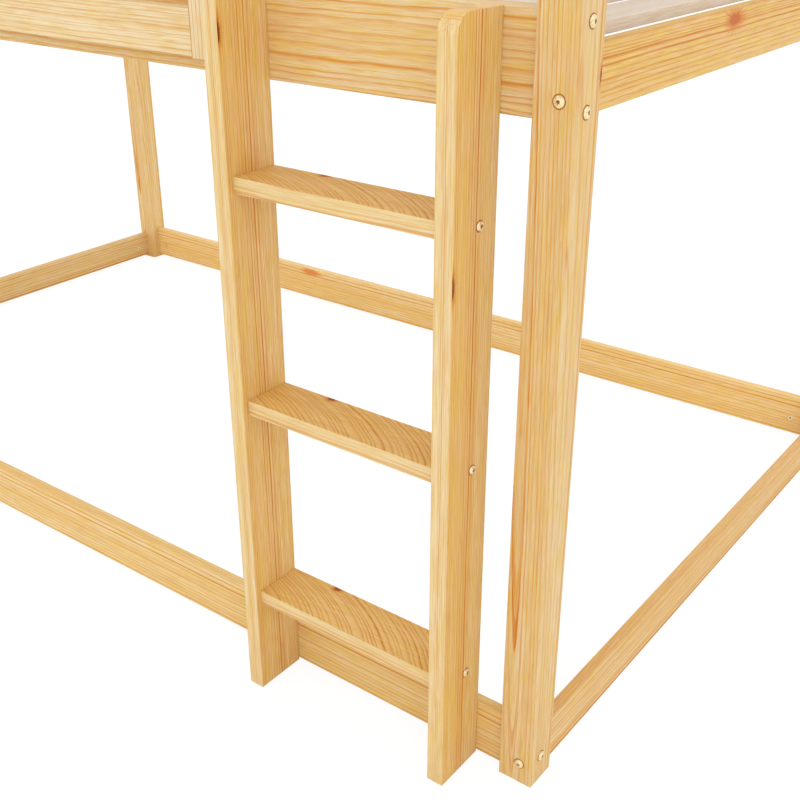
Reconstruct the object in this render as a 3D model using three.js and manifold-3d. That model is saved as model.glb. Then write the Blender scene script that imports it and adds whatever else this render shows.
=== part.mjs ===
// Bunk bed of pine: a low bunk just above the floor, an upper bunk on the same four posts,
// a ladder in front of the rails, and guard rails round the upper bunk.
// Millimetres. +X runs along the bed, +Z is up, and the ladder is on the -Y side.

import * as THREE from 'three';
import { mergeVertices } from 'three/addons/utils/BufferGeometryUtils.js';
import Module from 'manifold-3d';

const wasm = await Module();
wasm.setup();

// Whole bed, over the posts, which rise a little past the guard
const bedLength = 1803;
const bedWidth = 1050;
const postSize = 42.5;
const postAboveGuard = 44.2;

// Gap that is left between pieces that touch
const fitGap = 0.3;

// Boards of the two bunk frames. A rise is measured up from the bottom of the rail that carries the piece.
const boardThickness = 15;
const longRailInset = 9;
const endRailInset = 5.6;
const railFloorGap = 6.1;
const lowerLongRailHeight = 69.8;
const lowerEndRailHeight = 56.4;
const upperLongRailBottom = 748.5;
const upperLongRailHeight = 91.1;
const upperEndRailRise = 4.2;
const upperEndRailHeight = 58.7;

// Slats, and the ledgers under their ends
const slatCount = 17;
const slatWidth = 55;
const slatThickness = 12;
const slatEndGap = 1;
const firstSlatGap = 4.5;
const ledgerWidth = 38;
const ledgerHeight = 25;

// Ladder
const uprightThickness = 20.8;
const uprightDepth = 70;
const ladderFootGap = 3.3;
const ladderToPost = 37.5;
const treadLength = 257.8;
const treadThickness = 17.4;
const treadSetback = 7.8;
const treadTops = { low: 147.7, middle: 406.1, high: 660.7 };
const uprightAboveRail = 1;
const uprightTopRadius = 20;

// Guard
const guardThickness = 20.8;
const guardBoardHeight = 48.1;
const guardStileWidth = 70;
const guardGap = 75;
const lowGuardBoardRise = 17.2;
const guardStileRise = 15.4;

// Eased edges of the timber, and the steps that draw a quarter of a round edge or of a bevel
const postEdge = 0.7;
const boardEdge = 0.5;
const slatEdge = 0.6;
const edgeSteps = 3;
const bevelSteps = 2;
const outlineCornerShare = 1.25;

// Bolts with barrel nuts, which hold the rails to the posts
const boltShankRadius = 2.9;
const boltLength = 80;
const boltHeadRadius = 5.8;
const nutRadius = 5;
const nutLength = 12;
const nutFromRailEnd = 30;
const nutSlotWidth = 1.2;
const nutSlotDepth = 0.6;
const endBoltOffset = 16.4;
const longBoltOffset = 19.2;
const lowerEndBoltRise = 21.3;
const lowerLongBoltRise = 28.1;
const upperEndBoltRise = 15.1;
const upperLongBoltRise = 9.1;
const upperLongBoltDrop = 7.2;

// Screws, which hold the treads
const screwShankRadius = 2.4;
const screwHeadRadius = 5;
const screwLength = 50;
const screwTipLength = 4;
const screwFromRails = 28;

// Button heads of the bolts and the screws, the hexagon sockets in them and the recesses they sit in
const headHeight = 3.4;
const headRim = 1;
const socketAcrossCorners = 4.6;
const socketDepth = 2.4;
const headRoom = 1;
const headSink = 0.8;

// Room round a shank in its hole, past a tip, and the overrun of every cut
const holeRoom = 0.3;
const tipRoom = 4;
const cutOverrun = 1;
const holeSides = 12;
const roundSides = 16;
const recessSides = 24;
const hexagonSides = 6;

// Lines of the frame that the pieces share, before the bed is set over its origin
const halfLength = bedLength / 2;
const halfWidth = bedWidth / 2;
const postInnerX = halfLength - postSize;
const postInnerY = halfWidth - postSize;
const longRailFace = halfWidth - longRailInset;
const longRailInner = longRailFace - boardThickness;
const endRailFace = halfLength - endRailInset;
const endRailInner = endRailFace - boardThickness;
const upperLongRailTop = upperLongRailBottom + upperLongRailHeight;
const upperEndRailBottom = upperLongRailBottom + upperEndRailRise;
const slatSeat = upperEndRailBottom + upperEndRailHeight;
const guardLevels = [
  upperLongRailTop + guardGap,
  upperLongRailTop + guardGap + guardBoardHeight + guardGap,
];
const guardTop = guardLevels[1] + guardBoardHeight;
const lowGuardBoardBottom = upperLongRailBottom + lowGuardBoardRise;
const guardStileBottom = upperLongRailBottom + guardStileRise;
const postHeight = guardTop + postAboveGuard;
const lowerEndBoltHeight = railFloorGap + lowerEndBoltRise;
const lowerLongBoltHeight = railFloorGap + lowerLongBoltRise;
const upperEndBoltHeight = upperEndRailBottom + upperEndBoltRise;
const upperLongBoltHeights = {
  low: upperLongRailBottom + upperLongBoltRise,
  high: upperLongRailTop - upperLongBoltDrop,
};
const ladderBack = longRailFace + fitGap;
const ladderRight = postInnerX - ladderToPost;
const ladderLeft = ladderRight - uprightThickness - treadLength - uprightThickness;

const colours = { pine: 0xe3b97c, slat: 0xe0d1c0, bolt: 0xd9bf86, screw: 0xc9b48c };

function pine() {
  return new THREE.MeshStandardMaterial({ color: colours.pine, roughness: 0.55, metalness: 0 });
}

function paleWood() {
  return new THREE.MeshStandardMaterial({ color: colours.slat, roughness: 0.7, metalness: 0 });
}

function boltMetal() {
  return new THREE.MeshStandardMaterial({ color: colours.bolt, roughness: 0.3, metalness: 1 });
}

function screwMetal() {
  return new THREE.MeshStandardMaterial({ color: colours.screw, roughness: 0.35, metalness: 1 });
}

function solidOf(geometry) {
  const bare = geometry.clone();
  bare.deleteAttribute('normal');
  bare.deleteAttribute('uv');
  const merged = mergeVertices(bare);
  const corners = merged.index.array;
  const triangles = [];
  for (let i = 0; i < corners.length; i += 3) {
    const [a, b, c] = corners.slice(i, i + 3);
    if (a !== b && b !== c && c !== a) triangles.push(a, b, c);
  }
  return new wasm.Manifold(new wasm.Mesh({
    numProp: 3,
    vertProperties: new Float32Array(merged.attributes.position.array),
    triVerts: new Uint32Array(triangles),
  }));
}

function geometryOf(solid) {
  const mesh = solid.getMesh();
  const geometry = new THREE.BufferGeometry();
  geometry.setAttribute('position', new THREE.BufferAttribute(mesh.vertProperties, 3));
  geometry.setIndex(new THREE.BufferAttribute(mesh.triVerts, 1));
  geometry.computeVertexNormals();
  return geometry;
}

function cut(geometry, cutters) {
  let solid = solidOf(geometry);
  for (const cutter of cutters) solid = solid.subtract(solidOf(cutter));
  return geometryOf(solid);
}

// Turns a shape that was made along +Z so that it runs along another axis
function turnAlong(geometry, axis) {
  if (axis === 'x') geometry.rotateX(Math.PI / 2).rotateZ(Math.PI / 2);
  if (axis === 'y') geometry.rotateX(-Math.PI / 2);
  return geometry;
}

function roundedRectangle(width, height, radius) {
  const x = width / 2 - radius;
  const y = height / 2 - radius;
  const shape = new THREE.Shape();
  shape.absarc(x, -y, radius, -Math.PI / 2, 0);
  shape.absarc(x, y, radius, 0, Math.PI / 2);
  shape.absarc(-x, y, radius, Math.PI / 2, Math.PI);
  shape.absarc(-x, -y, radius, Math.PI, 1.5 * Math.PI);
  return shape;
}

// A straight piece of timber with eased long edges, centred on its own middle
function timberGeometry(size, along, edge) {
  const sections = { x: [size.y, size.z], y: [size.x, size.z], z: [size.x, size.y] };
  const [width, height] = sections[along];
  const geometry = new THREE.ExtrudeGeometry(roundedRectangle(width, height, edge), {
    depth: size[along],
    bevelEnabled: false,
    curveSegments: edgeSteps,
  });
  geometry.translate(0, 0, -size[along] / 2);
  return turnAlong(geometry, along);
}

// A round hole given by its two ends
function drill(from, to, radius, sides = holeSides) {
  const start = new THREE.Vector3(...from);
  const end = new THREE.Vector3(...to);
  const run = end.clone().sub(start);
  const geometry = new THREE.CylinderGeometry(radius, radius, run.length(), sides);
  const up = new THREE.Vector3(0, 1, 0);
  geometry.applyQuaternion(new THREE.Quaternion().setFromUnitVectors(up, run.normalize()));
  const middle = start.add(end).divideScalar(2);
  return geometry.translate(middle.x, middle.y, middle.z);
}

// A piece of timber between two corners, with its holes in the frame that its group uses
function timber(name, low, high, along, edge, material, holes = []) {
  const from = new THREE.Vector3(...low);
  const to = new THREE.Vector3(...high);
  const size = to.clone().sub(from);
  const middle = from.clone().add(to).divideScalar(2);
  let geometry = timberGeometry(size, along, edge);
  if (holes.length) {
    const cutters = holes.map((hole) => hole.translate(-middle.x, -middle.y, -middle.z));
    geometry = cut(geometry, cutters);
  }
  const mesh = new THREE.Mesh(geometry, material);
  mesh.name = name;
  mesh.position.copy(middle);
  return mesh;
}

// The bolts that meet one corner post: two into the end rails, three into the long rails.
// sideX and sideY are the corner's signs, and every height is over the floor.
const boltHoleRadius = boltShankRadius + holeRoom;
const endBoltHeights = [lowerEndBoltHeight, upperEndBoltHeight];
const longBoltHeights = [lowerLongBoltHeight, upperLongBoltHeights.low, upperLongBoltHeights.high];
const endBoltX = halfLength - endBoltOffset;
const longBoltY = halfWidth - longBoltOffset;
const boltReachX = halfLength - headSink - boltLength - tipRoom;
const boltReachY = halfWidth - headSink - boltLength - tipRoom;
const boltRecessRadius = boltHeadRadius + headRoom;
const nutX = postInnerX - fitGap - nutFromRailEnd;
const nutY = postInnerY - fitGap - nutFromRailEnd;
const nutHoleDepth = nutLength + holeRoom + fitGap;

function endBoltHole(sideX, sideY, height) {
  const outside = sideY * (halfWidth + cutOverrun);
  return drill([sideX * endBoltX, outside, height], [sideX * endBoltX, sideY * boltReachY, height],
    boltHoleRadius);
}

function longBoltHole(sideX, sideY, height) {
  const outside = sideX * (halfLength + cutOverrun);
  return drill([outside, sideY * longBoltY, height], [sideX * boltReachX, sideY * longBoltY, height],
    boltHoleRadius);
}

// The shallow recess in a post's outer face for the head of a bolt
function endBoltRecess(sideX, sideY, height) {
  const x = sideX * endBoltX;
  return drill([x, sideY * (halfWidth + cutOverrun), height], [x, sideY * (halfWidth - headSink), height],
    boltRecessRadius, recessSides);
}

function longBoltRecess(sideX, sideY, height) {
  const y = sideY * longBoltY;
  return drill([sideX * (halfLength + cutOverrun), y, height], [sideX * (halfLength - headSink), y, height],
    boltRecessRadius, recessSides);
}

function endNutHole(sideX, sideY, height) {
  const mouth = sideX * (endRailInner - cutOverrun);
  const bottom = sideX * (endRailInner + nutHoleDepth);
  return drill([mouth, sideY * nutY, height], [bottom, sideY * nutY, height], nutRadius + holeRoom);
}

function longNutHole(sideX, sideY, height) {
  const mouth = sideY * (postInnerY - cutOverrun);
  const bottom = sideY * (longRailInner + nutHoleDepth);
  return drill([sideX * nutX, mouth, height], [sideX * nutX, bottom, height], nutRadius + holeRoom);
}

const sides = { front: -1, back: 1, left: -1, right: 1 };

// The same distances from the middle on the side that a sign gives, the lower coordinate first
function onSide(side, ...distances) {
  return distances.map((distance) => side * distance).sort((a, b) => a - b);
}

function post(endName, faceName) {
  const sideX = sides[endName];
  const sideY = sides[faceName];
  const holes = [
    ...endBoltHeights.map((height) => endBoltHole(sideX, sideY, height)),
    ...endBoltHeights.map((height) => endBoltRecess(sideX, sideY, height)),
    ...longBoltHeights.map((height) => longBoltHole(sideX, sideY, height)),
    ...longBoltHeights.map((height) => longBoltRecess(sideX, sideY, height)),
  ];
  const xs = onSide(sideX, halfLength, postInnerX);
  const ys = onSide(sideY, halfWidth, postInnerY);
  return timber(`post_${faceName}_${endName}`, [xs[0], ys[0], 0], [xs[1], ys[1], postHeight],
    'z', postEdge, pine(), holes);
}

// A rail along the front or the back, with the holes for its bolts and nuts at both ends
function longRail(name, faceName, bottom, height, boltHeights) {
  const sideY = sides[faceName];
  const ys = onSide(sideY, longRailFace, longRailInner);
  const reach = postInnerX - fitGap;
  const holes = [];
  for (const sideX of [-1, 1]) {
    for (const boltHeight of boltHeights) {
      holes.push(longBoltHole(sideX, sideY, boltHeight), longNutHole(sideX, sideY, boltHeight));
    }
  }
  return timber(name, [-reach, ys[0], bottom], [reach, ys[1], bottom + height],
    'x', boardEdge, pine(), holes);
}

// A rail across the left or the right end
function endRail(name, endName, bottom, height, boltHeight) {
  const sideX = sides[endName];
  const xs = onSide(sideX, endRailFace, endRailInner);
  const reach = postInnerY - fitGap;
  const holes = [];
  for (const sideY of [-1, 1]) {
    holes.push(endBoltHole(sideX, sideY, boltHeight), endNutHole(sideX, sideY, boltHeight));
  }
  return timber(name, [xs[0], -reach, bottom], [xs[1], reach, bottom + height],
    'y', boardEdge, pine(), holes);
}

function posts() {
  const group = new THREE.Group();
  for (const faceName of ['front', 'back']) {
    for (const endName of ['left', 'right']) group.add(post(endName, faceName));
  }
  return group;
}

function lowerBunk() {
  const group = new THREE.Group();
  for (const faceName of ['front', 'back']) {
    group.add(longRail(`lower_rail_${faceName}`, faceName, railFloorGap, lowerLongRailHeight,
      [lowerLongBoltHeight]));
  }
  for (const endName of ['left', 'right']) {
    group.add(endRail(`lower_rail_${endName}`, endName, railFloorGap, lowerEndRailHeight,
      lowerEndBoltHeight));
  }
  return group;
}

function slats() {
  const group = new THREE.Group();
  const outerEdge = endRailInner - firstSlatGap;
  const pitch = (2 * outerEdge - slatWidth) / (slatCount - 1);
  const reach = postInnerY - slatEndGap;
  for (let i = 0; i < slatCount; i += 1) {
    const left = -outerEdge + i * pitch;
    const number = String(i + 1).padStart(2, '0');
    group.add(timber(`slat_${number}`, [left, -reach, slatSeat],
      [left + slatWidth, reach, slatSeat + slatThickness], 'y', slatEdge, paleWood()));
  }
  return group;
}

// Ledgers run between the posts, on the inner faces of the long rails
function slatLedger(faceName) {
  const outer = longRailInner - fitGap;
  const ys = onSide(sides[faceName], outer, outer - ledgerWidth);
  const reach = postInnerX - fitGap;
  const top = slatSeat - fitGap;
  return timber(`slat_ledger_${faceName}`, [-reach, ys[0], top - ledgerHeight], [reach, ys[1], top],
    'x', slatEdge, pine());
}

// Stops fill the room from a long rail to the ends of the slats, with holes to reach the nuts behind them
function slatStop(faceName) {
  const sideY = sides[faceName];
  const ys = onSide(sideY, longRailInner - fitGap, postInnerY);
  const reach = postInnerX - fitGap;
  const holes = [-1, 1].map((sideX) => longNutHole(sideX, sideY, upperLongBoltHeights.high));
  return timber(`slat_stop_${faceName}`, [-reach, ys[0], slatSeat], [reach, ys[1], upperLongRailTop],
    'x', slatEdge, pine(), holes);
}

function upperBunk() {
  const group = new THREE.Group();
  for (const faceName of ['front', 'back']) {
    group.add(longRail(`upper_rail_${faceName}`, faceName, upperLongRailBottom, upperLongRailHeight,
      Object.values(upperLongBoltHeights)));
    group.add(slatLedger(faceName), slatStop(faceName));
  }
  for (const endName of ['left', 'right']) {
    group.add(endRail(`upper_rail_${endName}`, endName, upperEndRailBottom, upperEndRailHeight,
      upperEndBoltHeight));
  }
  return group.add(slats());
}

// The ladder's own frame: x from its left side, y from its back to its front at -uprightDepth, z from the floor.
// An upright is drawn from the side, back edge at 0, with a large round at its top front corner.
function uprightOutline(top) {
  const corner = boardEdge * outlineCornerShare;
  const shape = new THREE.Shape();
  shape.absarc(-corner, ladderFootGap + corner, corner, -Math.PI / 2, 0);
  shape.absarc(-corner, top - corner, corner, 0, Math.PI / 2);
  shape.absarc(uprightTopRadius - uprightDepth, top - uprightTopRadius, uprightTopRadius,
    Math.PI / 2, Math.PI);
  shape.absarc(corner - uprightDepth, ladderFootGap + corner, corner, Math.PI, 1.5 * Math.PI);
  return shape;
}

const treadEnds = { left: uprightThickness, right: uprightThickness + treadLength };
const ladderWidth = treadEnds.right + uprightThickness;

function screwHeight(tread) {
  return treadTops[tread] - treadThickness / 2;
}

// The hole of a screw through an upright into a tread, and the recess for its head
function screwHole(side, tread) {
  const outer = side === 'left' ? 0 : ladderWidth;
  const inward = side === 'left' ? 1 : -1;
  const mouth = [outer - inward * cutOverrun, -screwFromRails, screwHeight(tread)];
  const along = (depth) => [outer + inward * depth, -screwFromRails, screwHeight(tread)];
  const reach = headSink + screwLength + tipRoom;
  return {
    shank: drill(mouth, along(reach), screwShankRadius + holeRoom),
    recess: drill(mouth, along(headSink), screwHeadRadius + headRoom, recessSides),
  };
}

function upright(side, top) {
  const outline = uprightOutline(top);
  const geometry = new THREE.ExtrudeGeometry(outline, {
    depth: uprightThickness - 2 * boardEdge,
    bevelEnabled: true,
    bevelThickness: boardEdge,
    bevelSize: boardEdge,
    bevelOffset: -boardEdge,
    bevelSegments: bevelSteps,
    curveSegments: 2 * edgeSteps,
  });
  turnAlong(geometry, 'x');
  const inner = side === 'left' ? 0 : treadEnds.right;
  const cutters = [];
  for (const tread of Object.keys(treadTops)) {
    const hole = screwHole(side, tread);
    cutters.push(hole.shank, hole.recess);
  }
  for (const cutter of cutters) cutter.translate(-inner - boardEdge, 0, 0);
  const mesh = new THREE.Mesh(cut(geometry, cutters), pine());
  mesh.name = `ladder_upright_${side}`;
  mesh.position.set(inner + boardEdge, 0, 0);
  return mesh;
}

function tread(name) {
  const top = treadTops[name];
  const low = [treadEnds.left + fitGap, treadSetback - uprightDepth, top - treadThickness];
  const high = [treadEnds.right - fitGap, 0, top];
  const holes = ['left', 'right'].map((side) => screwHole(side, name).shank);
  return timber(`tread_${name}`, low, high, 'x', boardEdge, pine(), holes);
}

function ladder() {
  const group = new THREE.Group();
  group.add(upright('left', guardTop), upright('right', upperLongRailTop + uprightAboveRail));
  for (const name of Object.keys(treadTops)) group.add(tread(name));
  for (const name of Object.keys(treadTops)) group.add(ladderScrew(name));
  group.position.set(ladderLeft, -ladderBack, 0);
  return group;
}

// A button head with its hexagon socket on a shank, along its own +Y with its seat at 0.
// The shank is given as points from its tip up to the seat.
function headed(shank, headRadius) {
  const outline = shank.map(([x, y]) => new THREE.Vector2(x, y));
  outline.push(new THREE.Vector2(headRadius, 0));
  for (let i = 0; i < edgeSteps; i += 1) {
    const angle = (i / edgeSteps) * (Math.PI / 2);
    const height = headRim + (headHeight - headRim) * Math.sin(angle);
    outline.push(new THREE.Vector2(headRadius * Math.cos(angle), height));
  }
  outline.push(new THREE.Vector2(0, headHeight));
  const socketRadius = socketAcrossCorners / 2;
  const socket = new THREE.CylinderGeometry(socketRadius, socketRadius, 2 * socketDepth, hexagonSides);
  socket.translate(0, headHeight, 0);
  return cut(new THREE.LatheGeometry(outline, roundSides), [socket]);
}

// A pointed screw in the right-hand upright's outer face
function ladderScrew(tread) {
  const shank = [
    [0, -screwLength],
    [screwShankRadius, screwTipLength - screwLength],
    [screwShankRadius, 0],
  ];
  const mesh = new THREE.Mesh(headed(shank, screwHeadRadius), screwMetal());
  mesh.name = `ladder_screw_${tread}`;
  mesh.rotation.z = -Math.PI / 2;
  mesh.position.set(ladderWidth - headSink + fitGap, -screwFromRails, screwHeight(tread));
  return mesh;
}

// Guard rails round the upper bunk
function frontGuard() {
  const group = new THREE.Group();
  const back = -ladderBack;
  const front = back - guardThickness;
  const stiles = {
    left: fitGap - postInnerX,
    right: ladderLeft - fitGap - guardStileWidth,
  };
  for (const [side, x] of Object.entries(stiles)) {
    group.add(timber(`guard_stile_${side}`, [x, front, guardStileBottom],
      [x + guardStileWidth, back, guardTop], 'z', boardEdge, pine()));
  }
  const from = stiles.left + guardStileWidth + fitGap;
  const to = stiles.right - fitGap;
  const bottoms = { low: lowGuardBoardBottom, middle: guardLevels[0], top: guardLevels[1] };
  for (const [level, bottom] of Object.entries(bottoms)) {
    group.add(timber(`guard_board_front_${level}`, [from, front, bottom],
      [to, back, bottom + guardBoardHeight], 'x', boardEdge, pine()));
  }
  return group;
}

function endGuards() {
  const group = new THREE.Group();
  const reach = postInnerY - fitGap;
  for (const endName of ['left', 'right']) {
    const xs = onSide(sides[endName], endRailFace, endRailInner);
    for (const [i, level] of ['middle', 'top'].entries()) {
      group.add(timber(`guard_board_${endName}_${level}`, [xs[0], -reach, guardLevels[i]],
        [xs[1], reach, guardLevels[i] + guardBoardHeight], 'y', boardEdge, pine()));
    }
  }
  return group;
}

// The batten behind the back boards fills the inset, so that the bed still stands flat to a wall
function backGuard() {
  const group = new THREE.Group();
  const reach = postInnerX - fitGap;
  for (const [i, level] of ['middle', 'top'].entries()) {
    group.add(timber(`guard_board_back_${level}`, [-reach, longRailInner, guardLevels[i]],
      [reach, longRailFace, guardLevels[i] + guardBoardHeight], 'x', boardEdge, pine()));
  }
  const halfBatten = guardStileWidth / 2;
  group.add(timber('guard_batten_back', [-halfBatten, longRailFace + fitGap, guardStileBottom],
    [halfBatten, halfWidth, guardTop], 'z', boardEdge, pine()));
  return group;
}

function bolt(name) {
  const shank = [[0, -boltLength], [boltShankRadius, -boltLength], [boltShankRadius, 0]];
  const mesh = new THREE.Mesh(headed(shank, boltHeadRadius), boltMetal());
  mesh.name = name;
  return mesh;
}

// A barrel nut along its own +Y, its slotted end at 0, with the cross hole for its bolt
function barrelNut(name, boltDepth) {
  const body = new THREE.CylinderGeometry(nutRadius, nutRadius, nutLength, roundSides);
  body.translate(0, -nutLength / 2, 0);
  const reach = nutRadius + cutOverrun;
  const hole = drill([-reach, -boltDepth, 0], [reach, -boltDepth, 0], boltHoleRadius);
  const slot = new THREE.BoxGeometry(nutSlotWidth, 2 * nutSlotDepth, 2 * reach);
  const mesh = new THREE.Mesh(cut(body, [hole, slot]), boltMetal());
  mesh.name = name;
  return mesh;
}

// The bolted joints of the front right corner, which faces the ladder's user
function cornerFasteners() {
  const group = new THREE.Group();
  const endBolts = { lower: lowerEndBoltHeight, upper: upperEndBoltHeight };
  for (const [level, height] of Object.entries(endBolts)) {
    const endBolt = bolt(`bolt_front_${level}`);
    endBolt.rotation.x = Math.PI;
    endBolt.position.set(endBoltX, headSink - fitGap - halfWidth, height);
    group.add(endBolt);
  }
  const longBolts = {
    lower: lowerLongBoltHeight,
    upper_low: upperLongBoltHeights.low,
    upper_high: upperLongBoltHeights.high,
  };
  for (const [level, height] of Object.entries(longBolts)) {
    const longBolt = bolt(`bolt_side_${level}`);
    longBolt.rotation.z = -Math.PI / 2;
    longBolt.position.set(halfLength - headSink + fitGap, -longBoltY, height);
    group.add(longBolt);
  }
  const endNutFace = endRailInner + fitGap;
  const endNut = barrelNut('barrel_nut_end_rail_lower', endBoltX - endNutFace);
  endNut.rotation.z = Math.PI / 2;
  endNut.position.set(endNutFace, -nutY, lowerEndBoltHeight);
  const longNutFace = longRailInner + fitGap;
  const longNut = barrelNut('barrel_nut_long_rail_lower', longBoltY - longNutFace);
  longNut.position.set(nutX, -longNutFace, lowerLongBoltHeight);
  return group.add(endNut, longNut);
}

// The origin is on the floor, in the middle of the whole outline, ladder included
const bed = new THREE.Group();
bed.add(posts(), lowerBunk(), upperBunk(), ladder());
bed.add(frontGuard(), endGuards(), backGuard(), cornerFasteners());
bed.position.y = (uprightDepth + fitGap - longRailInset) / 2;

const bunkBed = new THREE.Group();
bunkBed.add(bed);
bunkBed.updateMatrixWorld(true);

export default bunkBed;
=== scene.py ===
"""Looks of the pine bunk bed: camera, light, wood grain, and the fasteners that the solids leave out."""

import math

import bpy
from mathutils import Euler, Matrix, Vector

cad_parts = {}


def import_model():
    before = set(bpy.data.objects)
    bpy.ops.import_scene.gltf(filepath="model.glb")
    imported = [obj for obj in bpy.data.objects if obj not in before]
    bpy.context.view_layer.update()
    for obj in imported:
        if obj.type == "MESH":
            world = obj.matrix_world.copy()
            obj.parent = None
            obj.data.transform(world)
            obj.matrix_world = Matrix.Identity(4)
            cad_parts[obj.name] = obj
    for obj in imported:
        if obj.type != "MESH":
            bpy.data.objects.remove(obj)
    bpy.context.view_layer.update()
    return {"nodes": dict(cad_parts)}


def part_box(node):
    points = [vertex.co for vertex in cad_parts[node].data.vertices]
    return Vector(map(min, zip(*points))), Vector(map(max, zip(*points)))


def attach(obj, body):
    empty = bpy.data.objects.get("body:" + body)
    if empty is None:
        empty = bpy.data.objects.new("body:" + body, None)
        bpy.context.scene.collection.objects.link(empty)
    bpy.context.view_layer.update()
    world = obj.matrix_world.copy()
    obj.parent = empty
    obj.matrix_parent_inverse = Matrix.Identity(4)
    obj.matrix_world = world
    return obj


# Lengths are in millimetres unless a comment says otherwise
MM = 0.001
MM_PER_METRE = 1000.0

# Camera of the photograph, in metres and degrees
CAMERA_PLACE = Vector((1.3575, -1.3411, 0.9563))
CAMERA_ANGLES = Euler((math.radians(63.967), math.radians(0.054), math.radians(37.124)))
CAMERA_LENS_MM = 50.296
SENSOR_MM = 36.0
CLIP_START = 0.01
CLIP_END = 100.0

# Light, and a floor whose size is in metres
WORLD_STRENGTH = 1.12
SUN_STRENGTH = 0.35
SUN_TRAVEL = Vector((-0.42, 0.65, -0.60))
SUN_SIZE = math.radians(50)
FLOOR_ALBEDO = 0.9
FLOOR_WHITE = 1.06
FLOOR_WHITE_SHARE = 0.86
FLOOR_SIZE = 60.0


def srgb(red, green, blue):
    """A colour given as 0 to 255 in sRGB, as linear values with alpha."""
    linear = []
    for value in (red, green, blue):
        share = value / 255
        linear.append(share / 12.92 if share <= 0.04045 else ((share + 0.055) / 1.055) ** 2.4)
    return (*linear, 1.0)


# Colours of the wood
PALE = srgb(230, 210, 166)
TAN = srgb(225, 193, 132)
LINE = srgb(216, 146, 40)
STRIPE = srgb(206, 124, 12)
PINKISH = srgb(230, 191, 150)
YELLOWISH = srgb(228, 196, 96)
FLECK = srgb(210, 146, 70)
HALO = srgb(208, 122, 30)
KNOT = srgb(124, 58, 26)
RED_KNOT = srgb(192, 98, 0)
ORANGE_KNOT = srgb(214, 128, 74)
BROWN_KNOT = srgb(146, 76, 24)
# Painted shade on the floors and walls of recesses and holes in the wood
HOLLOW_SHADE = srgb(204, 132, 34)
FIBRE_DARK = srgb(242, 230, 203)
WHITE = srgb(255, 255, 255)

# Colours of the metal
BOLT_COLOUR = srgb(250, 234, 192)
NUT_COLOUR = srgb(255, 244, 208)
# Painted reflection: dull gold patches mixed into the metal's own colour
DULL_GOLD_REFLECTION = srgb(214, 180, 108)
# Painted shade in the sockets and slots of the fasteners and on their rims
SOCKET_AND_RIM_SHADE = srgb(158, 90, 14)

# Noises: cycles per millimetre along the grain and across it, and levels of detail
WANDER_NOISE = (0.0024, 0.009, 3.0)
RIPPLE_NOISE = (0.016, 0.05, 2.0)
FADING_NOISE = (0.02, 0.11, 2.0)
THREAD_NOISE = (0.006, 0.65, 1.0)
TONE_NOISE = (0.0018, 0.06, 3.0)
PINK_NOISE = (0.028, 0.16, 2.0)
YELLOW_NOISE = (0.024, 0.15, 2.0)
FLECK_NOISE = (0.055, 0.8, 1.0)
FIBRE_NOISE = (0.03, 1.3, 2.0)

# Steps: two levels, and how much there is of an effect at the first and at the second
FADING_STEP = (0.33, 0.6, 0.6, 1.0)
THREAD_STEP = (0.34, 0.56, 0.5, 1.0)
TONE_STEP = (0.32, 0.68, 0.0, 1.0)
PINK_STEP = (0.42, 0.66, 0.0, 0.4)
YELLOW_STEP = (0.44, 0.68, 0.0, 0.5)
FLECK_STEP = (0.62, 0.74, 0.0, 0.35)
FIBRE_STEP = (0.3, 0.7, 0.0, 1.0)
WARMTH_STEP = (0.2, 0.9, 0.0, 0.16)
RING_STRENGTH_STEP = (0.0, 1.0, 0.5, 1.0)
STRIPE_STEP = (1.0, 0.4, 0.0, 1.0)
EDGE_STEP = (0.6, 0.8, 0.0, 1.0)

# The middle of a noise's values, and how much the ripple of the rings adds to their slow wander
NOISE_MIDDLE = 0.5
RIPPLE_SHARE = 0.3

# Where in its ring a line is darkest, and from where its own share of the ring counts back
LINE_PEAK_SHARE = 0.88
LINE_BACK_SHARE = 0.96

# Uneven rings: cycles of their noise in a ring, its levels of detail, and how many rings it spans
UNEVEN_CYCLES = 0.43
UNEVEN_DETAIL = 1.0
UNEVEN_RINGS = 1.6

# Where the streaks take their noise from, beside the other noises
PINK_OFFSET = (3000, 5000, 7000)
YELLOW_OFFSET = (5000, 2000, 4000)

# How far apart along the grain the boards lie in the noise, and the span that they stay in
BOARD_OFFSET = 1370
OFFSET_SPAN = 7000

# Knots: noise in directions out of the knot, and steps in radii
RAY_NOISE = (4.5, 4.5, 3.0)
RAGGEDNESS = 2.0
HALO_STEP = (1.9, 0.7, 0.0, 0.85)
CORE_STEP = (0.95, 0.5, 0.0, 1.0)

# How the swell of the rings beside a knot falls off, and its height as a share of the knot's radius
SWELL_FALL = -0.2
SWELL_SHARE = 0.15

# Surface of the wood
LATE_WOOD_HEIGHT = -0.6
FIBRE_HEIGHT = 0.4
BUMP_STRENGTH = 0.1
BUMP_DEPTH = 0.3
WOOD_ROUGHNESS = 0.45
WOOD_SPECULAR = 0.25

# Painted shade of a hollow starts this deep in a board, and is looked for only this far from the board's ends
HOLLOW_SHADE_DEPTH = 0.3
HOLLOW_SHADE_FROM_END = 22.0

# The sizes of a board are compared to this many decimals of a metre
SIZE_DECIMALS = 5

# Metal: noise of the painted reflection patches in cycles per metre, and the step of the rim's painted shade
# in widths of the fastener
METAL_NOISE = (900.0, 900.0, 3.0)
DULL_REFLECTION_STEP = (0.34, 0.54, 0.0, 1.0)
RIM_SHADE_STEP = (0.45, 0.5, 0.0, 0.26)
BOX_MIDDLE = (0.5, 0.5, 0.5)
METAL_SHARE = 0.6
SHARP_ANGLE = math.radians(40)

# The soft edge of a socket's painted shade lies between these shares of its radius
SOCKET_OUTER_SHARE = 1.1
SOCKET_INNER_SHARE = 0.9

# Sockets of a Mix node that mixes colours
MIX_FACTOR = 0
MIX_FIRST = 6
MIX_SECOND = 7
MIX_RESULT = 2


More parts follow.
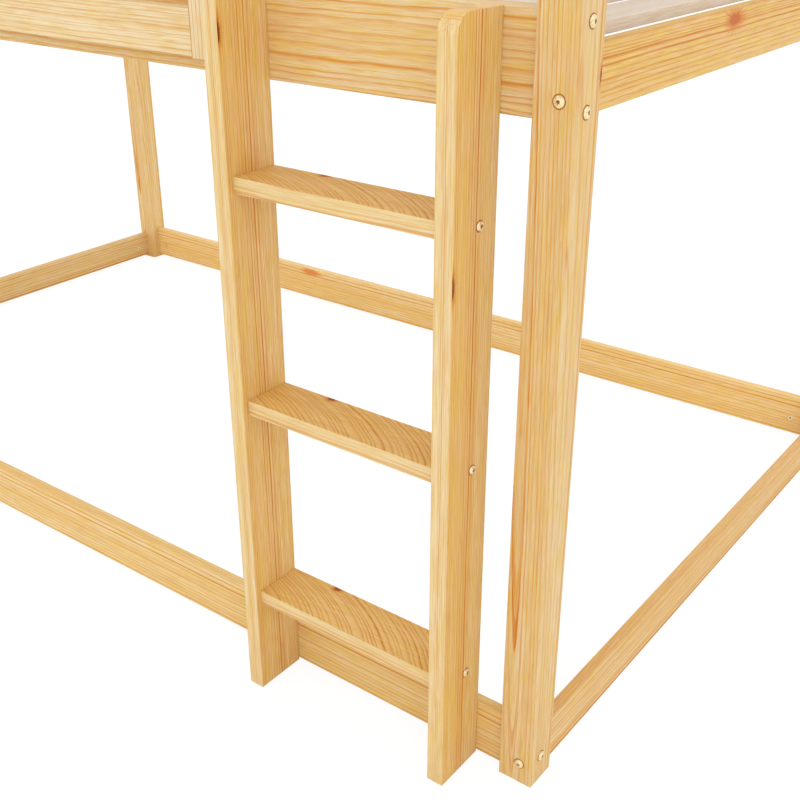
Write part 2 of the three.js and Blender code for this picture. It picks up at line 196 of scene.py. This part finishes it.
class Nodes:
    """Short calls that add nodes to one tree and link them."""

    def __init__(self, tree):
        self.tree = tree

    def add(self, kind, **settings):
        node = self.tree.nodes.new(kind)
        for name, value in settings.items():
            setattr(node, name, value)
        return node

    def put(self, value, socket):
        if isinstance(value, bpy.types.NodeSocket):
            self.tree.links.new(value, socket)
        elif value is not None:
            socket.default_value = value

    def math(self, operation, a, b=None, c=None):
        node = self.add("ShaderNodeMath", operation=operation)
        for value, socket in zip((a, b, c), node.inputs):
            self.put(value, socket)
        return node.outputs[0]

    def product(self, value, *others):
        for other in others:
            value = self.math("MULTIPLY", value, other)
        return value

    def vector(self, operation, a, b=None):
        node = self.add("ShaderNodeVectorMath", operation=operation)
        self.put(a, node.inputs[0])
        self.put(b, node.inputs[1])
        return node.outputs["Value"] if operation == "LENGTH" else node.outputs[0]

    def smooth(self, value, low, high, at_low=0.0, at_high=1.0):
        node = self.add("ShaderNodeMapRange", interpolation_type="SMOOTHSTEP")
        for item, socket in zip((value, low, high, at_low, at_high), node.inputs):
            self.put(item, socket)
        return node.outputs[0]

    def noise(self, place, noise):
        along, across, detail = noise
        node = self.add("ShaderNodeTexNoise")
        self.put(self.vector("MULTIPLY", place, (along, across, across)), node.inputs["Vector"])
        node.inputs["Scale"].default_value = 1.0
        node.inputs["Detail"].default_value = detail
        return node.outputs[0]

    def mix(self, share, first, second, blend="MIX"):
        node = self.add("ShaderNodeMix", data_type="RGBA", blend_type=blend)
        self.put(share, node.inputs[MIX_FACTOR])
        self.put(first, node.inputs[MIX_FIRST])
        self.put(second, node.inputs[MIX_SECOND])
        return node.outputs[MIX_RESULT]

    def parts(self, value):
        node = self.add("ShaderNodeSeparateXYZ")
        self.put(value, node.inputs[0])
        return node.outputs[:3]

    def joined(self, values):
        node = self.add("ShaderNodeCombineXYZ")
        for value, socket in zip(values, node.inputs):
            self.put(value, socket)
        return node.outputs[0]


VECTOR = "NodeSocketVector"
NUMBER = "NodeSocketFloat"
COLOUR = "NodeSocketColor"
STRIPES = ("Stripe 1", "Stripe 2", "Stripe 3", "Stripe 4")
NO_STRIPE = (0, 1, 0)

# Sockets of the node groups, with the value of each that isn't zero when it is left out
GRAIN_INPUTS = {
    "Place": (VECTOR, None),
    "Bend": (NUMBER, None),
    "Pith": (VECTOR, None),
    "Lean": (VECTOR, None),
    "Spacing": (NUMBER, None),
    "Wobble": (NUMBER, None),
    "Lines": (NUMBER, None),
    "Line Share": (NUMBER, 0.3),
    "Blotch": (NUMBER, 1.0),
    "Slope": (NUMBER, None),
    **{name: (VECTOR, NO_STRIPE) for name in STRIPES},
    "Pale": (COLOUR, PALE),
    "Tan": (COLOUR, TAN),
    "Line": (COLOUR, LINE),
}
GRAIN_OUTPUTS = {"Color": COLOUR, "Height": NUMBER}
KNOT_INPUTS = {
    "Place": (VECTOR, None),
    "Knot": (VECTOR, None),
    "Radius": (NUMBER, None),
    "Squeeze": (NUMBER, None),
}
KNOT_OUTPUTS = {"Bend": NUMBER, "Halo": NUMBER, "Core": NUMBER}


def new_group(name, inputs, outputs):
    """A node group's node helper, what it is given and what it gives out."""
    tree = bpy.data.node_groups.new(name, "ShaderNodeTree")
    for key, (kind, value) in inputs.items():
        socket = tree.interface.new_socket(key, in_out="INPUT", socket_type=kind)
        if value is not None:
            socket.default_value = value
    for key, kind in outputs.items():
        tree.interface.new_socket(key, in_out="OUTPUT", socket_type=kind)
    n = Nodes(tree)
    return n, n.add("NodeGroupInput").outputs, n.add("NodeGroupOutput").inputs


def knot_group():
    """How much a knot bends the rings beside it, and where its halo and its core are."""
    n, given, out = new_group("pine_knot", KNOT_INPUTS, KNOT_OUTPUTS)
    away = n.vector("SUBTRACT", given["Place"], given["Knot"])
    reach = n.vector("LENGTH", n.vector("MULTIPLY", away, n.joined((given["Squeeze"], 1, 1))))
    share = n.math("DIVIDE", reach, given["Radius"])
    rays = n.noise(n.vector("NORMALIZE", away), RAY_NOISE)
    ragged = n.product(rays, RAGGEDNESS, share)
    swell = n.math("EXPONENT", n.product(share, share, SWELL_FALL))
    n.put(n.product(swell, given["Radius"], SWELL_SHARE), out["Bend"])
    n.put(n.smooth(ragged, *HALO_STEP), out["Halo"])
    n.put(n.smooth(ragged, *CORE_STEP), out["Core"])


def ring_distance(n, given):
    """Distance from the pith, which leans and wanders along the board."""
    place = given["Place"]
    lean = n.add("ShaderNodeVectorMath", operation="SCALE")
    n.put(given["Lean"], lean.inputs[0])
    n.put(n.parts(place)[0], lean.inputs["Scale"])
    slow = n.math("SUBTRACT", n.noise(place, WANDER_NOISE), NOISE_MIDDLE)
    ripple = n.math("SUBTRACT", n.noise(place, RIPPLE_NOISE), NOISE_MIDDLE)
    wander = n.product(n.math("MULTIPLY_ADD", ripple, RIPPLE_SHARE, slow), given["Wobble"])
    from_pith = n.vector("SUBTRACT", n.vector("SUBTRACT", place, given["Pith"]), lean.outputs[0])
    across = n.vector("LENGTH", n.vector("MULTIPLY", from_pith, (0, 1, 1)))
    return n.math("ADD", n.math("ADD", across, wander), given["Bend"])


def ring_lines(n, given, distance):
    """Late wood as thin lines of uneven width and strength, and how warm the wood grows towards them."""
    rings = n.math("DIVIDE", distance, given["Spacing"])
    uneven = n.add("ShaderNodeTexNoise", noise_dimensions="1D")
    n.put(rings, uneven.inputs["W"])
    uneven.inputs["Scale"].default_value = UNEVEN_CYCLES
    uneven.inputs["Detail"].default_value = UNEVEN_DETAIL
    phase = n.math("MULTIPLY_ADD", uneven.outputs[0], UNEVEN_RINGS, rings)
    part = n.math("FRACT", phase)
    foot = n.math("SUBTRACT", LINE_BACK_SHARE, given["Line Share"])
    rise = n.smooth(part, foot, LINE_PEAK_SHARE)
    drop = n.smooth(part, 1.0, LINE_PEAK_SHARE)
    chance = n.add("ShaderNodeTexWhiteNoise", noise_dimensions="1D")
    n.put(n.math("FLOOR", phase), chance.inputs["W"])
    strength = n.smooth(chance.outputs["Value"], *RING_STRENGTH_STEP)
    fading = n.smooth(n.noise(given["Place"], FADING_NOISE), *FADING_STEP)
    late = n.product(rise, drop, strength, fading, given["Lines"])
    warmth = n.product(n.smooth(part, *WARMTH_STEP), given["Lines"])
    return late, warmth


def stripe(n, given, distance, thread):
    """How much of a strong stripe is at a distance; it is given as its place, half width and strength."""
    place, half_width, strength = n.parts(given)
    off = n.math("ABSOLUTE", n.math("SUBTRACT", distance, place))
    share = n.math("DIVIDE", off, half_width)
    return n.product(n.smooth(share, *STRIPE_STEP), thread, strength)


def strong_stripes(n, given, distance):
    """Strong stripes, drawn as bundles of threads."""
    thread = n.smooth(n.noise(given["Place"], THREAD_NOISE), *THREAD_STEP)
    strong = 0.0
    for name in STRIPES:
        strong = n.math("MAXIMUM", stripe(n, given[name], distance, thread), strong)
    return strong


def blotched(n, given, place, colour, noise, step, blotch_colour):
    """A colour with streaks of another, as strong as the look's blotches are."""
    share = n.smooth(n.noise(place, noise), *step)
    return n.mix(n.product(share, given["Blotch"]), colour, blotch_colour)


def grain_group():
    """Pine grain in a board's own frame, in millimetres: x along the grain, y and z across it."""
    n, given, out = new_group("pine_grain", GRAIN_INPUTS, GRAIN_OUTPUTS)
    place = given["Place"]
    distance = ring_distance(n, given)
    late, warmth = ring_lines(n, given, distance)

    # Broad tone, with pinkish and yellowish streaks
    tone = n.math("MULTIPLY_ADD", n.parts(place)[1], given["Slope"], n.noise(place, TONE_NOISE))
    wood = n.mix(n.smooth(tone, *TONE_STEP), given["Pale"], given["Tan"])
    wood = n.mix(warmth, wood, given["Line"])
    pink_place = n.vector("ADD", place, PINK_OFFSET)
    wood = blotched(n, given, pink_place, wood, PINK_NOISE, PINK_STEP, PINKISH)
    yellow_place = n.vector("ADD", place, YELLOW_OFFSET)
    wood = blotched(n, given, yellow_place, wood, YELLOW_NOISE, YELLOW_STEP, YELLOWISH)

    # Lines and stripes, then short brown flecks and fine fibres
    wood = n.mix(late, wood, given["Line"])
    wood = n.mix(strong_stripes(n, given, distance), wood, STRIPE)
    wood = blotched(n, given, place, wood, FLECK_NOISE, FLECK_STEP, FLECK)
    fibre = n.noise(place, FIBRE_NOISE)
    fibre_colour = n.mix(n.smooth(fibre, *FIBRE_STEP), FIBRE_DARK, WHITE)
    n.put(n.mix(1.0, wood, fibre_colour, "MULTIPLY"), out["Color"])
    n.put(n.math("MULTIPLY_ADD", late, LATE_WOOD_HEIGHT, n.product(fibre, FIBRE_HEIGHT)), out["Height"])


def new_material(name):
    """A material, its node helper and its main shader."""
    material = bpy.data.materials.new(name)
    material.use_nodes = True
    return material, Nodes(material.node_tree), material.node_tree.nodes["Principled BSDF"]


def board_shape(node):
    """A board's middle in metres, its axes as along, width, thickness, and half its size in that order."""
    low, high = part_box(node)
    size = high - low
    order = sorted(range(3), key=lambda axis: (-round(size[axis], SIZE_DECIMALS), axis))
    return (low + high) / 2, order, [size[axis] / 2 / MM for axis in order]


def hollow_shade_share(n, place, half):
    """Where painted shade goes: 1 on the floors and walls of recesses and holes, which lie inside the board's
    outline.
    """
    room = []
    for part, limit in zip(n.parts(place), half):
        room.append(n.math("SUBTRACT", limit, n.math("ABSOLUTE", part)))
    depth = n.math("MINIMUM", room[1], room[2])
    inside = n.math("GREATER_THAN", depth, HOLLOW_SHADE_DEPTH)
    return n.product(inside, n.math("GREATER_THAN", room[0], HOLLOW_SHADE_FROM_END))


def grain_values(look, shift):
    """A look's values as the sockets of the grain group; stripes turn from places into distances."""
    values = dict(look)
    lean = Vector(values.get("Lean", (0, 0, 0)))
    pith = Vector((0, *values.pop("pith")))
    for name, (width, thickness, half_width, strength) in zip(STRIPES, values.pop("stripes", ())):
        values[name] = ((Vector((0, width, thickness)) - pith).length, half_width, strength)
    values["Pith"] = pith - lean * shift
    return values


def add_group(n, name, place, values):
    """A node group at a place, with its other values, and what it gives out."""
    group = n.add("ShaderNodeGroup", node_tree=bpy.data.node_groups[name])
    n.put(place, group.inputs["Place"])
    for key, value in values.items():
        n.put(value, group.inputs[key])
    return group.outputs


def add_knots(n, place, knots, shift):
    """The knots of a board, and how much they bend its rings together."""
    marks = []
    bend = 0.0
    for along, width, thickness, radius, squeeze in knots:
        values = {"Knot": (along + shift, width, thickness), "Radius": radius, "Squeeze": squeeze}
        mark = add_group(n, "pine_knot", place, values)
        bend = n.math("ADD", mark["Bend"], bend)
        marks.append(mark)
    return marks, bend


def on_edge(n, axis):
    """1 on the faces that look along an axis, 0 on the others."""
    normal = n.parts(n.add("ShaderNodeNewGeometry").outputs["Normal"])[axis]
    return n.smooth(n.math("ABSOLUTE", normal), *EDGE_STEP)


def wood_material(node, look, seed):
    """Pine for one board: one grain for its broad faces, one for its narrow ones, its knots, a tint that is
    partly painted light, and painted shade in its hollows.
    """
    material, n, shader = new_material(f"wood_{node}")
    middle, order, half = board_shape(node)
    coordinates = n.add("ShaderNodeTexCoord").outputs["Object"]
    apart = n.parts(n.vector("SUBTRACT", coordinates, tuple(middle)))
    own_place = n.vector("MULTIPLY", n.joined([apart[axis] for axis in order]), (MM_PER_METRE,) * 3)
    shift = seed * BOARD_OFFSET % OFFSET_SPAN
    place = n.vector("ADD", own_place, (shift, 0, 0))

    marks, bend = add_knots(n, place, KNOTS.get(node, look.get("knots", ())), shift)
    broad = add_group(n, "pine_grain", place, {"Bend": bend, **grain_values(look["broad"], shift)})
    colour = broad["Color"]
    broad_share = 1.0
    if "edge" in look:
        edge = add_group(n, "pine_grain", place, {"Bend": bend, **grain_values(look["edge"], shift)})
        edge_share = on_edge(n, order[1])
        colour = n.mix(edge_share, colour, edge["Color"])
        broad_share = n.math("SUBTRACT", 1.0, edge_share)
    for mark in marks:
        colour = n.mix(n.product(mark["Halo"], broad_share), colour, HALO)
        colour = n.mix(n.product(mark["Core"], broad_share), colour, look.get("knot_colour", KNOT))
    # Partly painted light: the board's own brightening or darkening
    if node in LIGHT_AND_TONE_TINTS:
        colour = n.mix(1.0, colour, (*LIGHT_AND_TONE_TINTS[node], 1), "MULTIPLY")
    # Painted shade darkens the recesses and holes
    colour = n.mix(hollow_shade_share(n, own_place, half), colour, HOLLOW_SHADE)
    n.put(colour, shader.inputs["Base Color"])

    bump = n.add("ShaderNodeBump")
    bump.inputs["Strength"].default_value = BUMP_STRENGTH
    bump.inputs["Distance"].default_value = BUMP_DEPTH * MM
    n.put(broad["Height"], bump.inputs["Height"])
    n.put(bump.outputs[0], shader.inputs["Normal"])
    shader.inputs["Roughness"].default_value = WOOD_ROUGHNESS
    shader.inputs["Specular IOR Level"].default_value = WOOD_SPECULAR
    return material


def dress(node, material):
    mesh = node.data
    mesh.materials.clear()
    mesh.materials.append(material)


# How far from a board's middle its faces lie, or the stripes and the pith beside a face
RAIL_FACE = 7.5
UPRIGHT_FACE = 10.4
UPRIGHT_STRIPE_DEPTH = 10
UPRIGHT_EDGE = 35
TREAD_FACE = 8.7
POST_FACE = 21.2
POST_PITH_DEPTH = 22.75

# Looks of the boards, with places from a board's middle
# A pith is (width, thickness)
# A stripe is (width, thickness, half width, strength)
# A knot is (along, width, thickness, radius, squeeze)
PALE_EDGE = {
    "pith": (-400, 120), "Spacing": 4.4, "Wobble": 4.0, "Lines": 0.4, "Line Share": 0.36, "Blotch": 0.4,
    "Pale": srgb(233, 215, 174), "Tan": srgb(228, 203, 150),
}
UPPER_LONG_RAIL = {
    "broad": {
        "pith": (-300, 120), "Spacing": 8.4, "Wobble": 15.0, "Lines": 1.0, "Line Share": 0.42,
        "Pale": srgb(231, 214, 176), "Tan": srgb(227, 198, 144),
        "stripes": ((-45.5, -RAIL_FACE, 1.2, 0.7),),
    },
}
UPPER_END_RAIL = {
    "broad": {
        "pith": (-260, 40), "Spacing": 5.2, "Wobble": 4.0, "Lines": 1.5, "Line Share": 0.36, "Blotch": 1.3,
        "Pale": srgb(230, 200, 132), "Tan": srgb(224, 186, 110),
        "stripes": (
            (16, RAIL_FACE, 1.2, 1.2),
            (9.5, RAIL_FACE, 1.0, 1.1),
            (21.5, RAIL_FACE, 0.8, 0.6),
        ),
    },
    "knots": ((-180, 18, RAIL_FACE, 8.2, 0.42),),
    "knot_colour": RED_KNOT,
}
LOWER_LONG_RAIL = {
    "broad": {
        "pith": (-420, 100), "Spacing": 5.6, "Wobble": 5.0, "Lines": 0.95, "Line Share": 0.36,
        "stripes": ((27.5, -RAIL_FACE, 1.0, 0.8), (19, -RAIL_FACE, 1.2, 0.9)),
    },
    "edge": {
        **PALE_EDGE, "pith": (-100, -300),
        "Pale": srgb(230, 206, 154), "Tan": srgb(224, 188, 124),
    },
    "knot_colour": ORANGE_KNOT,
}
LOWER_END_RAIL = {
    "broad": {
        "pith": (-300, 80), "Spacing": 6.6, "Wobble": 4.0, "Lines": 1.3, "Line Share": 0.3,
        "stripes": ((-25, RAIL_FACE, 1.8, 1.1), (-18, RAIL_FACE, 1.0, 0.8)),
    },
    "edge": {
        **PALE_EDGE, "pith": (-100, -300),
        "Pale": srgb(228, 198, 148), "Tan": srgb(223, 185, 125),
    },
}
POST = {
    "broad": {
        "pith": (-18.9, -POST_PITH_DEPTH), "Lean": (0, -0.025, 0.02), "Spacing": 4.2, "Wobble": 2.0,
        "Lines": 0.85, "Line Share": 0.32, "Blotch": 1.0,
        "Pale": srgb(228, 207, 163), "Tan": srgb(222, 191, 135),
        "stripes": (
            (-9.9, -POST_PITH_DEPTH, 0.6, 1.1),
            (-7.2, -POST_PITH_DEPTH, 0.35, 0.6),
            (-14.4, -POST_PITH_DEPTH, 4.5, 0.12),
            (POST_FACE, 17, 1.0, 0.6),
        ),
    },
    "knots": ((222, POST_FACE, POST_FACE, 3.6, 0.35),),
}
UPRIGHT = {
    "broad": {
        "pith": (-500, 0), "Spacing": 3.1, "Wobble": 3.0, "Lines": 0.95, "Line Share": 0.4, "Blotch": 1.1,
        "Slope": -0.006, "Pale": srgb(236, 212, 156), "Tan": srgb(229, 194, 124),
        "stripes": (
            (-7, UPRIGHT_STRIPE_DEPTH, 0.9, 0.9),
            (-3, UPRIGHT_STRIPE_DEPTH, 0.7, 0.8),
            (1.5, UPRIGHT_STRIPE_DEPTH, 1.4, 1.1),
            (7, UPRIGHT_STRIPE_DEPTH, 0.7, 0.7),
        ),
    },
    "edge": {
        **PALE_EDGE, "pith": (-200, -300), "Lines": 0.35, "Blotch": 0.8,
        "stripes": ((-UPRIGHT_EDGE, 0.6, 0.9, 0.5),),
    },
}
TREAD = {
    "broad": {
        "pith": (-90.6, 107.5), "Lean": (0, -0.1, 0.45), "Spacing": 3.9, "Wobble": 9.0, "Lines": 1.05,
        "Line Share": 0.6, "Blotch": 0.7,
        "Pale": srgb(233, 200, 136), "Tan": srgb(227, 188, 116), "Line": srgb(206, 138, 34),
    },
    "edge": {
        **PALE_EDGE, "Spacing": 3.0, "Lines": 0.75,
        "stripes": ((-31, -6, 0.7, 0.45),),
    },
    "knots": ((-57, 28.5, TREAD_FACE, 4.4, 0.7),),
    "knot_colour": BROWN_KNOT,
}
GUARD = {
    "broad": {
        "pith": (-400, 60), "Spacing": 4.8, "Wobble": 6.0, "Lines": 0.75, "Line Share": 0.36, "Blotch": 0.6,
        "Pale": srgb(235, 221, 187), "Tan": srgb(230, 211, 169),
    },
}
SLAT = {
    "broad": {
        "pith": (-300, 50), "Spacing": 6.0, "Wobble": 8.0, "Lines": 0.25, "Blotch": 0.2,
        "Pale": srgb(223, 215, 209), "Tan": srgb(217, 206, 199), "Line": srgb(204, 182, 160),
    },
}

# Knots of single boards, in place of their look's own
KNOTS = {
    "ladder_upright_left": ((258, -34.5, UPRIGHT_FACE, 3.4, 0.24),),
    "ladder_upright_right": ((181, -34.5, UPRIGHT_FACE, 3.4, 0.24),),
    "lower_rail_back": ((-327, 26, -RAIL_FACE, 6.0, 0.3),),
    "lower_rail_right": ((-215, 28.2, -RAIL_FACE, 2.6, 0.3),),
}

# Partly painted light: factors by which single boards are brighter or darker than the others, partly for
# their own tone and partly for light and shade that the scene's lamps don't give them
LIGHT_AND_TONE_TINTS = {
    "lower_rail_back": (1.19, 1.21, 1.19),
    "lower_rail_front": (1.06, 1.08, 1.06),
    "lower_rail_right": (1.0, 0.95, 0.88),
    "post_back_left": (1.1, 1.12, 1.14),
}


def look_of(name):
    """The look of a board; slat ledgers and stops have that of the long upper rail beside them."""
    if name.removeprefix("slat_").isdigit():
        return SLAT
    if name.startswith("post"):
        return POST
    if name.startswith("ladder_upright"):
        return UPRIGHT
    if name.startswith("tread"):
        return TREAD
    if name.startswith("guard"):
        return GUARD
    long_rail = name.endswith(("front", "back"))
    if name.startswith("lower_rail"):
        return LOWER_LONG_RAIL if long_rail else LOWER_END_RAIL
    return UPPER_LONG_RAIL if long_rail else UPPER_END_RAIL


# What the names of fasteners start with
FASTENERS = ("bolt", "barrel_nut", "ladder_screw")

# Upper nuts by rail, bolts and level; each lies as far over the lower nut as its bolt over the lower bolt
UPPER_NUTS = (
    ("end_rail", "bolt_front", "upper"),
    ("long_rail", "bolt_side", "upper_low"),
    ("long_rail", "bolt_side", "upper_high"),
)

# Corners that the fasteners of the front right corner are mirrored to, by the sign of each axis
CORNERS = {"front_left": (-1, 1, 1), "back_right": (1, -1, 1), "back_left": (-1, -1, 1)}

# Metals by what the names start with: axis along the fastener, colour, roughness and the radius share of the
# socket's painted shade
METALS = (
    ("bolt_front", 1, BOLT_COLOUR, 0.24, 0.15),
    ("bolt_side", 0, BOLT_COLOUR, 0.24, 0.15),
    ("ladder_screw", 0, BOLT_COLOUR, 0.24, 0.19),
    ("barrel_nut_end_rail", 0, NUT_COLOUR, 0.35, 0.17),
    ("barrel_nut_long_rail", 1, NUT_COLOUR, 0.35, 0.17),
)


def dress_boards(nodes):
    grain_group()
    knot_group()
    for seed, name in enumerate(sorted(nodes), start=1):
        if not name.startswith(FASTENERS):
            dress(nodes[name], wood_material(name, look_of(name), seed))


def metal(name, along, colour, roughness, socket_share):
    """Metal mottled with painted reflections, with painted shade in a socket about the fastener's middle line
    and on a darker rim.
    """
    material, n, shader = new_material(name)
    coordinates = n.add("ShaderNodeTexCoord").outputs
    # Painted reflection: random patches of dull gold and bright metal stand in for uneven reflections on the
    # heads
    blotch = n.noise(coordinates["Object"], METAL_NOISE)
    plain = n.mix(n.smooth(blotch, *DULL_REFLECTION_STEP), DULL_GOLD_REFLECTION, colour)
    across = [0.0 if axis == along else 1.0 for axis in range(3)]
    off = n.vector("MULTIPLY", n.vector("SUBTRACT", coordinates["Generated"], BOX_MIDDLE), across)
    reach = n.vector("LENGTH", off)
    # Painted shade: a dark rim for the gap round the fastener, and a dark socket about its middle line
    rim = n.smooth(reach, *RIM_SHADE_STEP)
    socket = n.smooth(reach, SOCKET_OUTER_SHARE * socket_share, SOCKET_INNER_SHARE * socket_share)
    n.put(n.mix(n.math("MAXIMUM", rim, socket), plain, SOCKET_AND_RIM_SHADE), shader.inputs["Base Color"])
    shader.inputs["Metallic"].default_value = METAL_SHARE
    shader.inputs["Roughness"].default_value = roughness
    return material


def dress_fasteners(nodes):
    for kind, *settings in METALS:
        material = metal(f"metal_{kind}", *settings)
        for name, node in nodes.items():
            if name.startswith(kind):
                dress(node, material)
                node.data.shade_smooth()
                node.data.set_sharp_from_angle(angle=SHARP_ANGLE)


def copied(node, name, matrix):
    """A copy of a fastener's solid somewhere else, which moves with the bed."""
    mesh = node.data.copy()
    mesh.transform(matrix)
    if matrix.determinant() < 0:
        mesh.flip_normals()
    copy = bpy.data.objects.new(name, mesh)
    bpy.context.scene.collection.objects.link(copy)
    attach(copy, "root")
    return copy


def mirrored(middle, signs):
    """The matrix that mirrors across planes through a middle, where a sign is -1."""
    return Matrix.Translation(middle) @ Matrix.Diagonal((*signs, 1)) @ Matrix.Translation(-middle)


def middle_of(node):
    low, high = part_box(node)
    return (low + high) / 2


def add_fasteners(nodes):
    """The bolts, nuts and ladder screws that have their holes in the solids but no solids of their own."""
    corner = {name: node for name, node in nodes.items() if name.startswith(("bolt", "barrel_nut"))}
    for rail, bolts, level in UPPER_NUTS:
        rise = middle_of(f"{bolts}_{level}") - middle_of(f"{bolts}_lower")
        name = f"barrel_nut_{rail}_{level}"
        corner[name] = copied(nodes[f"barrel_nut_{rail}_lower"], name, Matrix.Translation(rise))
    bed = (middle_of("lower_rail_left") + middle_of("lower_rail_right")) / 2
    for place, signs in CORNERS.items():
        for name, node in corner.items():
            copied(node, f"{name}_{place}", mirrored(bed, signs))
    for name, node in nodes.items():
        if name.startswith("ladder_screw"):
            copied(node, f"{name}_left", mirrored(middle_of("tread_low"), (-1, 1, 1)))


def make_camera():
    data = bpy.data.cameras.new("camera")
    data.lens = CAMERA_LENS_MM
    data.sensor_width = SENSOR_MM
    data.clip_start = CLIP_START
    data.clip_end = CLIP_END
    camera = bpy.data.objects.new("camera", data)
    camera.location = CAMERA_PLACE
    camera.rotation_euler = CAMERA_ANGLES
    bpy.context.scene.collection.objects.link(camera)
    bpy.context.scene.camera = camera


def make_world():
    """Even light on the bed, and a background of plain white behind it and in its reflections."""
    world = bpy.data.worlds.new("studio")
    world.use_nodes = True
    bpy.context.scene.world = world
    n = Nodes(world.node_tree)
    path = n.add("ShaderNodeLightPath")
    seen = n.math("MAXIMUM", path.outputs["Is Camera Ray"], path.outputs["Is Glossy Ray"])
    seen = n.math("MAXIMUM", seen, path.outputs["Is Transmission Ray"])
    background = world.node_tree.nodes["Background"]
    n.put(n.math("MULTIPLY_ADD", seen, 1.0 - WORLD_STRENGTH, WORLD_STRENGTH), background.inputs["Strength"])
    background.inputs["Color"].default_value = WHITE


def make_sun():
    data = bpy.data.lights.new("sun", "SUN")
    data.energy = SUN_STRENGTH
    data.angle = SUN_SIZE
    sun = bpy.data.objects.new("sun", data)
    sun.rotation_euler = SUN_TRAVEL.to_track_quat("-Z", "Y").to_euler()
    bpy.context.scene.collection.objects.link(sun)


def floor_material():
    """White that still takes some of the bed's shadow where the camera sees it."""
    material, n, shader = new_material("floor_white")
    n.tree.nodes.remove(shader)
    diffuse = n.add("ShaderNodeBsdfDiffuse")
    diffuse.inputs["Color"].default_value = (FLOOR_ALBEDO, FLOOR_ALBEDO, FLOOR_ALBEDO, 1)
    glow = n.add("ShaderNodeEmission")
    glow.inputs["Strength"].default_value = FLOOR_WHITE
    path = n.add("ShaderNodeLightPath")
    blend = n.add("ShaderNodeMixShader")
    n.put(n.product(path.outputs["Is Camera Ray"], FLOOR_WHITE_SHARE), blend.inputs[0])
    n.put(diffuse.outputs[0], blend.inputs[1])
    n.put(glow.outputs[0], blend.inputs[2])
    n.put(blend.outputs[0], n.tree.nodes["Material Output"].inputs["Surface"])
    return material


def make_floor():
    mesh = bpy.data.meshes.new("floor")
    half = FLOOR_SIZE / 2
    corners = [(-half, -half, 0), (half, -half, 0), (half, half, 0), (-half, half, 0)]
    mesh.from_pydata(corners, [], [(0, 1, 2, 3)])
    mesh.materials.append(floor_material())
    floor = bpy.data.objects.new("floor", mesh)
    bpy.context.scene.collection.objects.link(floor)


def main():
    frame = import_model()
    scene = bpy.context.scene
    scene.view_settings.view_transform = "Standard"
    make_camera()
    make_world()
    make_sun()
    make_floor()
    dress_boards(frame["nodes"])
    dress_fasteners(frame["nodes"])
    add_fasteners(frame["nodes"])


main()
